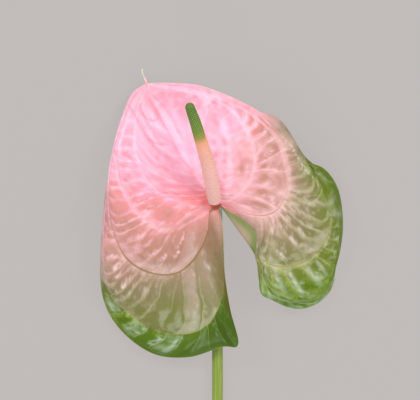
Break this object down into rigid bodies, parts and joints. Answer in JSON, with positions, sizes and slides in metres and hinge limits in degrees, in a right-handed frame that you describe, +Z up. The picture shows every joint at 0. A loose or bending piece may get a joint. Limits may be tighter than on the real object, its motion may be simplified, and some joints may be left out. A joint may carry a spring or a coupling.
{
  "type": "cut anthurium stem",
  "caption": "Cut anthurium lying face up: a waxy heart-shaped spathe, pink turning green at its lobes, a slanting spadix and a long bare green stem.",
  "frame": {"origin": "centre of the flower's footprint, on the surface it lies on", "axes": "+Z up from the surface; +Y along the stem from its cut end towards the flower's tip; +X to the flower's right, seen from above"},
  "size_m": [0.1214, 0.3294, 0.0627],
  "materials": {
    "stem": "satin",
    "spathe": "gloss",
    "spadix": "satin"
  },
  "bodies": {
    "root": {"stem": "stem", "spathe": "spathe", "spadix": "spadix"}
  },
  "joints": []
}
